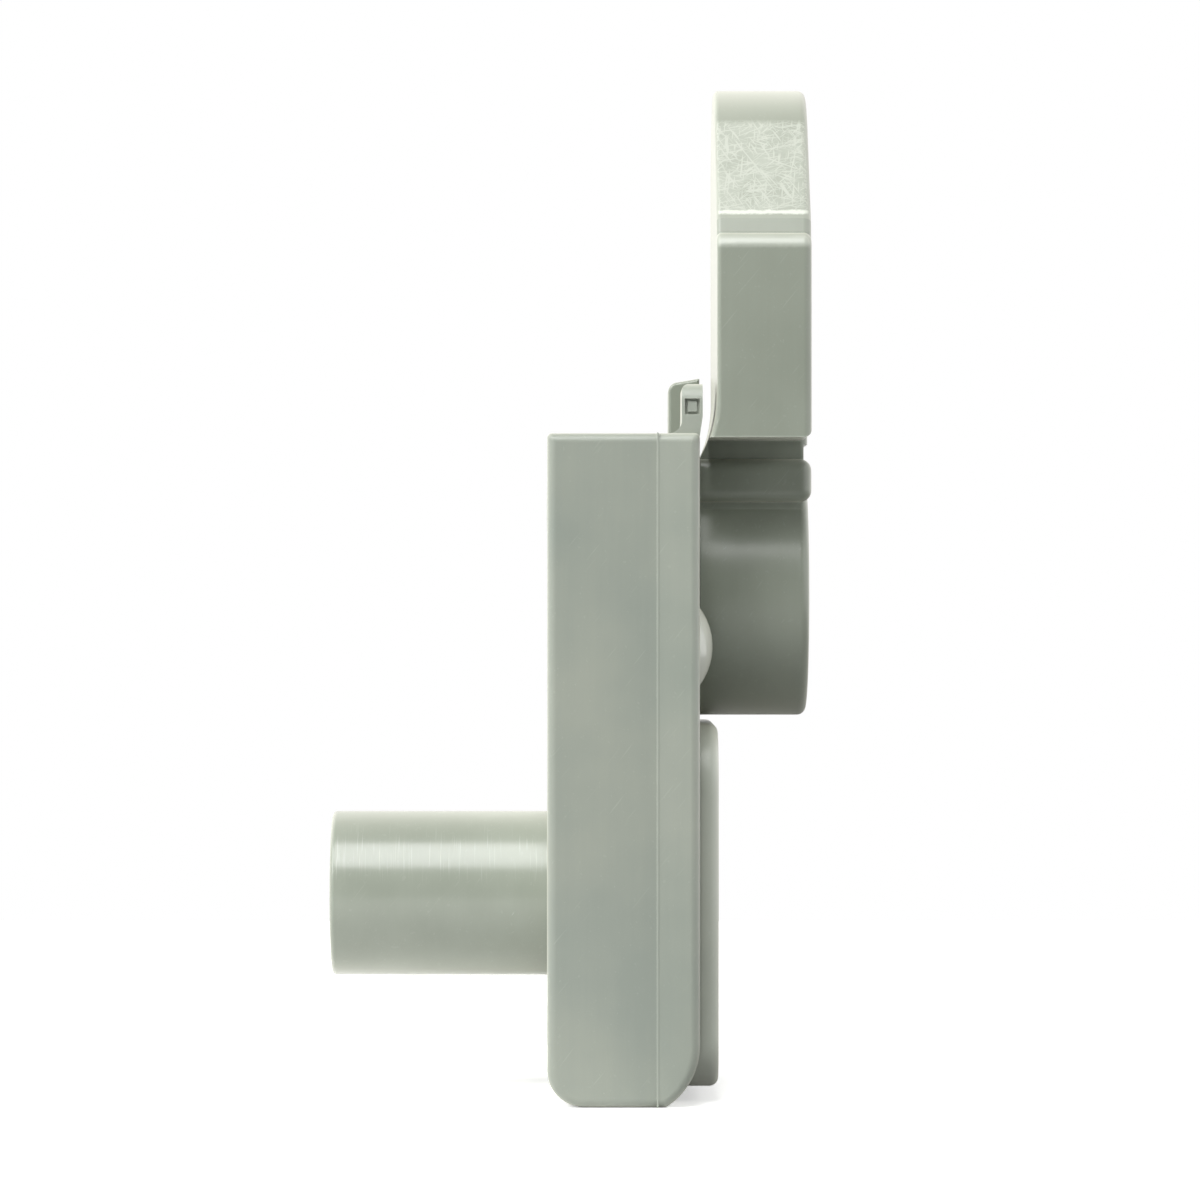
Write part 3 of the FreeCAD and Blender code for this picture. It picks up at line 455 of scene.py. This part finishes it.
nodeFinish = {
    "rear_housing": plastic["case"], "front_cover": plastic["cover"], "screw_cap_near": plastic["cap"],
    "screw_cap_far": plastic["cap"], "mounting_spigot": plastic["spigot"], "hook_lever": plastic["hook"],
    "hub_cap": plastic["hook"], "thumb_slide": plastic["hook"], "press_pad": plastic["pad"],
    "spigot_clip": metals["drawnSpringSteel"], "spigot_insert": metals["knurledBrass"],
    "shaft_bush": polymers["naturalAcetal"], "thrust_washer": polymers["naturalAcetal"],
    "crank_roller": polymers["naturalAcetal"], "slide_buffer": polymers["mouldedRubber"],
    "cover_screws": metals["zincPlatedSteel"], "crank_plate": metals["zincPlatedSteel"],
    "hub_screw": metals["zincPlatedSteel"], "pivot_shaft": metals["turnedSteel"],
    "crank_pin": metals["turnedSteel"], "shaft_clip": metals["drawnSpringSteel"],
    "hook_return_spring": metals["drawnSpringSteel"], "pad_spring_near": metals["drawnSpringSteel"],
    "pad_spring_far": metals["drawnSpringSteel"], "pad_spring_top": metals["drawnSpringSteel"],
}
for nodeName, material in nodeFinish.items():
    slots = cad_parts[nodeName].data.materials
    slots.clear()
    slots.append(material)
print("materials are on", len(nodeFinish), "nodes")


def startTree(name, inputs):
    # An empty node tree with named inputs and one geometry output
    tree = bpy.data.node_groups.new(name, "GeometryNodeTree")
    for label, kind, value in inputs:
        socket = tree.interface.new_socket(label, in_out="INPUT", socket_type=kind)
        if value is not None:
            socket.default_value = value
    tree.interface.new_socket("Geometry", in_out="OUTPUT", socket_type="NodeSocketGeometry")
    given = addNode(tree, "NodeGroupInput").outputs
    return tree, given


def endTree(tree, geometry, material):
    # Real geometry, smooth, with its material
    real = addNode(tree, "GeometryNodeRealizeInstances", {"Geometry": geometry})
    smooth = addNode(tree, "GeometryNodeSetShadeSmooth", {"Shade Smooth": True, 0: real})
    coated = addNode(tree, "GeometryNodeSetMaterial", {"Geometry": smooth, "Material": material})
    addNode(tree, "NodeGroupOutput", {0: coated})


def growPiece(name, tree, values, body, stoodFor=()):
    # Runs a tree once, keeps its result as a plain mesh and lets it ride on its body
    seed = bpy.data.objects.new(name + "Seed", bpy.data.meshes.new(name + "Seed"))
    scene.collection.objects.link(seed)
    modifier = seed.modifiers.new("grow", "NODES")
    modifier.node_group = tree
    for item in tree.interface.items_tree:
        if item.in_out == "INPUT" and item.name in values:
            modifier[item.identifier] = values[item.name]
    bpy.context.view_layer.update()
    grown = seed.evaluated_get(bpy.context.evaluated_depsgraph_get())
    mesh = bpy.data.meshes.new_from_object(grown)
    mesh.name = name
    seed.modifiers.remove(modifier)
    bpy.data.objects.remove(seed)
    piece = bpy.data.objects.new(name, mesh)
    scene.collection.objects.link(piece)
    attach(piece, body)
    if stoodFor:
        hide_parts(*stoodFor)
    return piece


def coilTree():
    # Round wire wound about X, with straight legs where the leg length isn't nought
    tree, given = startTree("coilOfWire", [
        ("Turns", "NodeSocketFloat", 5.0), ("Coil radius", "NodeSocketFloat", 0.002),
        ("Length", "NodeSocketFloat", 0.009), ("Wire radius", "NodeSocketFloat", 0.0004),
        ("Start", "NodeSocketVector", (0, 0, 0)), ("Leg", "NodeSocketFloat", 0.0),
        ("Finish", "NodeSocketMaterial", None)])
    spiral = addNode(tree, "GeometryNodeCurveSpiral", {
        "Resolution": 40, "Rotations": given["Turns"], "Start Radius": given["Coil radius"],
        "End Radius": given["Coil radius"], "Height": given["Length"]})
    laid = addNode(tree, "GeometryNodeTransform",
                   {"Rotation": (0, math.radians(90), 0), "Geometry": spiral, "Translation": given["Start"]})
    below = addNode(tree, "ShaderNodeMath", {"operation": "MULTIPLY", 0: given["Coil radius"], 1: -1.0})
    lowEnd = addNode(tree, "ShaderNodeCombineXYZ", {"Z": below})
    highEnd = addNode(tree, "ShaderNodeCombineXYZ", {"X": given["Length"], "Z": given["Coil radius"]})
    paths = addNode(tree, "GeometryNodeJoinGeometry", {0: laid})
    for end in (lowEnd, highEnd):
        leg = legOfWire(tree, given, end)
        tree.links.new(leg.outputs[0], paths.inputs[0])
    section = addNode(tree, "GeometryNodeCurvePrimitiveCircle", {"Resolution": 12, "Radius": given["Wire radius"]})
    wire = addNode(tree, "GeometryNodeCurveToMesh", {"Fill Caps": True, "Curve": paths, "Profile Curve": section})
    endTree(tree, wire, given["Finish"])
    return tree


def legOfWire(tree, given, coilEnd):
    # A straight piece of wire towards the near side, from a coil's end that is measured from the coil's start
    start = addNode(tree, "ShaderNodeVectorMath", {"operation": "ADD", 0: given["Start"], 1: coilEnd})
    nearer = addNode(tree, "ShaderNodeMath", {"operation": "MULTIPLY", 0: given["Leg"], 1: -1.0})
    reach = addNode(tree, "ShaderNodeCombineXYZ", {"Y": nearer})
    end = addNode(tree, "ShaderNodeVectorMath", {"operation": "ADD", 0: start, 1: reach})
    straight = addNode(tree, "GeometryNodeCurvePrimitiveLine", {"Start": start, "End": end})
    wanted = addNode(tree, "FunctionNodeCompare",
                     {"data_type": "FLOAT", "operation": "GREATER_THAN", 0: given["Leg"], 1: 0.1 * mm})
    return addNode(tree, "GeometryNodeSwitch", {"input_type": "GEOMETRY", "Switch": wanted, "True": straight})


def gripTree():
    # A row of rounded bars, evenly spaced
    tree, given = startTree("rowOfBars", [
        ("Count", "NodeSocketInt", 5), ("First", "NodeSocketVector", (0, 0, 0)),
        ("Step", "NodeSocketVector", (0, 0, 0.001)), ("Bar length", "NodeSocketFloat", 0.002),
        ("Bar radius", "NodeSocketFloat", 0.0002), ("Finish", "NodeSocketMaterial", None)])
    places = addNode(tree, "GeometryNodeMeshLine", {
        "mode": "OFFSET", "Count": given["Count"], "Start Location": given["First"], "Offset": given["Step"]})
    far = addNode(tree, "ShaderNodeCombineXYZ", {"X": given["Bar length"]})
    spine = addNode(tree, "GeometryNodeCurvePrimitiveLine", {"End": far})
    even = addNode(tree, "GeometryNodeResampleCurve", {"Count": 9, "Curve": spine})
    along = addNode(tree, "GeometryNodeSplineParameter").outputs["Factor"]
    # The bar keeps its radius for most of its length and rounds off to almost nothing at both ends
    fromMiddle = addNode(tree, "ShaderNodeMath", {
        "operation": "ABSOLUTE", 0: addNode(tree, "ShaderNodeMapRange", {"To Min": -1.0, "Value": along})})
    power = addNode(tree, "ShaderNodeMath", {"operation": "POWER", 0: fromMiddle, 1: 4.0})
    left = addNode(tree, "ShaderNodeMath", {"operation": "SUBTRACT", 0: 1.001, 1: power})
    swell = addNode(tree, "ShaderNodeMath", {"operation": "SQRT", 0: left})
    section = addNode(tree, "GeometryNodeCurvePrimitiveCircle", {"Resolution": 12, "Radius": given["Bar radius"]})
    bar = addNode(tree, "GeometryNodeCurveToMesh",
                  {"Fill Caps": True, "Curve": even, "Profile Curve": section, "Scale": swell})
    bars = addNode(tree, "GeometryNodeInstanceOnPoints", {"Points": places, "Instance": bar})
    endTree(tree, bars, given["Finish"])
    return tree


def ejectorMarkTree():
    # Shallow round marks that ejector pins leave, on a grid in the plane across X
    tree, given = startTree("ejectorMarks", [
        ("Rows", "NodeSocketInt", 2), ("Columns", "NodeSocketInt", 2), ("Height", "NodeSocketFloat", 0.05),
        ("Width", "NodeSocketFloat", 0.03), ("Middle", "NodeSocketVector", (0, 0, 0)),
        ("Mark radius", "NodeSocketFloat", 0.002), ("Rim", "NodeSocketFloat", 0.0001),
        ("Finish", "NodeSocketMaterial", None)])
    acrossX = (0, math.radians(90), 0)
    grid = addNode(tree, "GeometryNodeMeshGrid", {
        "Size X": given["Height"], "Size Y": given["Width"], "Vertices X": given["Rows"],
        "Vertices Y": given["Columns"]})
    placed = addNode(tree, "GeometryNodeTransform",
                     {"Rotation": acrossX, "Geometry": grid, "Translation": given["Middle"]})
    circle = addNode(tree, "GeometryNodeCurvePrimitiveCircle", {"Resolution": 40, "Radius": given["Mark radius"]})
    stood = addNode(tree, "GeometryNodeTransform", {"Rotation": acrossX, "Geometry": circle})
    section = addNode(tree, "GeometryNodeCurvePrimitiveCircle", {"Resolution": 8, "Radius": given["Rim"]})
    rim = addNode(tree, "GeometryNodeCurveToMesh", {"Fill Caps": True, "Curve": stood, "Profile Curve": section})
    rims = addNode(tree, "GeometryNodeInstanceOnPoints", {"Points": placed, "Instance": rim})
    endTree(tree, rims, given["Finish"])
    return tree


def burrTree():
    # Tiny ragged burrs scattered along a moulded edge
    tree, given = startTree("edgeBurrs", [
        ("From", "NodeSocketVector", (0, 0, 0)), ("To", "NodeSocketVector", (0, 0, 1)),
        ("Count", "NodeSocketInt", 6), ("Size", "NodeSocketFloat", 0.0002), ("Seed", "NodeSocketInt", 4),
        ("Spread", "NodeSocketFloat", 0.0016), ("Finish", "NodeSocketMaterial", None)])
    edge = addNode(tree, "GeometryNodeMeshLine", {
        "mode": "END_POINTS", "Count": given["Count"], "Start Location": given["From"], "Offset": given["To"]})
    down = addNode(tree, "ShaderNodeMath", {"operation": "MULTIPLY", 0: given["Spread"], 1: -1.0})
    drift = addNode(tree, "FunctionNodeRandomValue", {
        "data_type": "FLOAT_VECTOR", 0: addNode(tree, "ShaderNodeCombineXYZ", {"Z": down}),
        1: addNode(tree, "ShaderNodeCombineXYZ", {"Z": given["Spread"]}), "Seed": given["Seed"]})
    strewn = addNode(tree, "GeometryNodeSetPosition", {"Geometry": edge, "Offset": drift})
    # Each ball is torn out of round by noise of five ripples to a millimetre, turned any way and sized at random
    ball = addNode(tree, "GeometryNodeMeshIcoSphere", {"Subdivisions": 2, "Radius": given["Size"]})
    ragged = addNode(tree, "ShaderNodeTexNoise", {"Scale": 5.2 / mm, "Detail": 2.0}).outputs["Color"]
    centred = addNode(tree, "ShaderNodeVectorMath", {"operation": "SUBTRACT", 0: ragged, 1: (0.5, 0.5, 0.5)})
    push = addNode(tree, "ShaderNodeVectorMath", {"operation": "SCALE", 0: centred, "Scale": 0.3 * mm})
    torn = addNode(tree, "GeometryNodeSetPosition", {"Geometry": ball, "Offset": push})
    turn = addNode(tree, "FunctionNodeRandomValue",
                   {"data_type": "FLOAT_VECTOR", 1: (6.28, 6.28, 6.28), "Seed": given["Seed"]})
    grow = addNode(tree, "FunctionNodeRandomValue", {"data_type": "FLOAT", 2: 0.5, 3: 1.2, "Seed": given["Seed"]})
    scattered = addNode(tree, "GeometryNodeInstanceOnPoints",
                        {"Points": strewn, "Instance": torn, "Rotation": turn, "Scale": grow})
    endTree(tree, scattered, given["Finish"])
    return tree


coil = coilTree()
springFinish = metals["drawnSpringSteel"]
# "keep" is the share of a pad spring's length that is left when the pad is pressed home
padSpring = {"turns": 5.0, "coil": 2.2, "wire": 0.35, "keep": 0.78}
for nodeName in ("pad_spring_near", "pad_spring_far", "pad_spring_top"):
    low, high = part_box(nodeName)
    wire = padSpring["wire"] * mm
    start = Vector((low.x + wire, (low.y + high.y) / 2, (low.z + high.z) / 2))
    spring = growPiece(nodeName + "_coil", coil, {
        "Turns": padSpring["turns"], "Coil radius": padSpring["coil"] * mm, "Length": high.x - low.x - 2 * wire,
        "Wire radius": wire, "Start": start, "Finish": springFinish}, "latch_case", (nodeName,))
    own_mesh(spring)

# The spring that closes the hook is wound round the shaft, with two straight legs
hookSpring = {"turns": 2.5, "coil": 5.2, "wire": 0.5, "pitch": 1.15, "leg": 9.4}
low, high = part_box("hook_return_spring")
shaftLow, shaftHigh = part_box("pivot_shaft")
growPiece("hook_return_spring_coil", coil, {
    "Turns": hookSpring["turns"], "Coil radius": hookSpring["coil"] * mm,
    "Length": hookSpring["turns"] * hookSpring["pitch"] * mm, "Wire radius": hookSpring["wire"] * mm,
    "Start": Vector((low.x + hookSpring["wire"] * mm, 0.0, (shaftLow.z + shaftHigh.z) / 2)),
    "Leg": hookSpring["leg"] * mm, "Finish": springFinish}, "latch_case", ("hook_return_spring",))

# The insert's thread stays clear of both its ends by the margin
thread = {"pitch": 0.8, "radius": 2.1, "ridge": 0.24, "margin": 0.48}
low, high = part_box("spigot_insert")
threadLength = high.x - low.x - 2 * thread["margin"] * mm
growPiece("insert_thread", coil, {
    "Turns": threadLength / (thread["pitch"] * mm), "Coil radius": thread["radius"] * mm, "Length": threadLength,
    "Wire radius": thread["ridge"] * mm, "Start": Vector((low.x + thread["margin"] * mm, 0.0, 0.0)),
    "Finish": metals["knurledBrass"]}, "latch_case")

# Bars for the thumb on the near end of the tab, sunk into it a little, in the pad's paler plastic with its painted
# light
grip = {"count": 5, "pitch": 0.85, "radius": 0.2, "length": 2.5, "inner": 12.9, "below": 1.6, "sunk": 0.08}
low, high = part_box("thumb_slide")
gripDepth = grip["below"] + grip["pitch"] * (grip["count"] - 1)
growPiece("thumb_grip", gripTree(), {
    "Count": grip["count"],
    "First": Vector((grip["inner"] * mm, high.y - grip["sunk"] * mm, high.z - gripDepth * mm)),
    "Step": Vector((0, 0, grip["pitch"] * mm)), "Bar length": grip["length"] * mm,
    "Bar radius": grip["radius"] * mm, "Finish": plastic["pad"]}, "slide")

# Four marks on the back of the case
marks = {"rows": 2, "columns": 2, "radius": 2.0, "rim": 0.07, "width": 28.0, "height": 52.0}
low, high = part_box("rear_housing")
growPiece("ejector_marks", ejectorMarkTree(), {
    "Rows": marks["rows"], "Columns": marks["columns"], "Height": marks["height"] * mm,
    "Width": marks["width"] * mm,
    "Middle": Vector((low.x, 0.0, (low.z + high.z) / 2)), "Mark radius": marks["radius"] * mm,
    "Rim": marks["rim"] * mm, "Finish": plastic["case"]}, "latch_case")

# A few burrs on the near front edge of the cover, where it left the mould, in the caps' paler plastic with its
# painted light
burrs = {"count": 5, "seed": 4, "size": 0.11, "spread": 1.6, "low": 30.0, "high": 44.0, "edge": -20.35,
         "front": 15.22}
growPiece("edge_burrs", burrTree(), {
    "From": Vector((burrs["front"], burrs["edge"], burrs["low"])) * mm,
    "To": Vector((burrs["front"], burrs["edge"], burrs["high"])) * mm,
    "Count": burrs["count"], "Size": burrs["size"] * mm, "Seed": burrs["seed"],
    "Spread": burrs["spread"] * mm, "Finish": plastic["cap"]}, "latch_case")
print("springs, thread, grip and mould marks are grown")

# The floor throws less light back on the right, as if a dark card lay there, and glows white to the camera
paper = {"reach": 300, "colour": "#fafaf8", "roughness": 0.9, "glow": 0.45,
         "cardFrom": 8, "cardTo": 20, "bounceLeft": 0.9, "bounceRight": 0.13}


def makeFloor():
    # Plain pale paper floor under the lowest point
    reach, level = paper["reach"] * mm, cadLow.z
    mesh = bpy.data.meshes.new("paperFloor")
    mesh.from_pydata([(-reach, -reach, level), (reach, -reach, level), (reach, reach, level),
                      (-reach, reach, level)], [], [(0, 1, 2, 3)])
    floor = bpy.data.objects.new("paperFloor", mesh)
    scene.collection.objects.link(floor)
    material, tree, place = startMaterial("paleFloorPaper")
    sides = addNode(tree, "ShaderNodeSeparateXYZ", {0: place})
    bounce = addNode(tree, "ShaderNodeMapRange", {
        "From Min": paper["cardFrom"] * mm, "From Max": paper["cardTo"] * mm,
        "To Min": paper["bounceLeft"], "To Max": paper["bounceRight"], "Value": sides.outputs["X"]})
    seen = addNode(tree, "ShaderNodeLightPath").outputs["Is Camera Ray"]
    tone = addNode(tree, "ShaderNodeMix",
                   {"data_type": "RGBA", 0: seen, 6: bounce, 7: hexColour(paper["colour"])})
    glow = addNode(tree, "ShaderNodeMath", {"operation": "MULTIPLY", 0: seen, 1: paper["glow"]})
    endMaterial(tree, {"Roughness": paper["roughness"], "Base Color": tone,
                       "Emission Color": (1, 1, 1, 1), "Emission Strength": glow})
    mesh.materials.append(material)


makeFloor()
print("floor is laid")
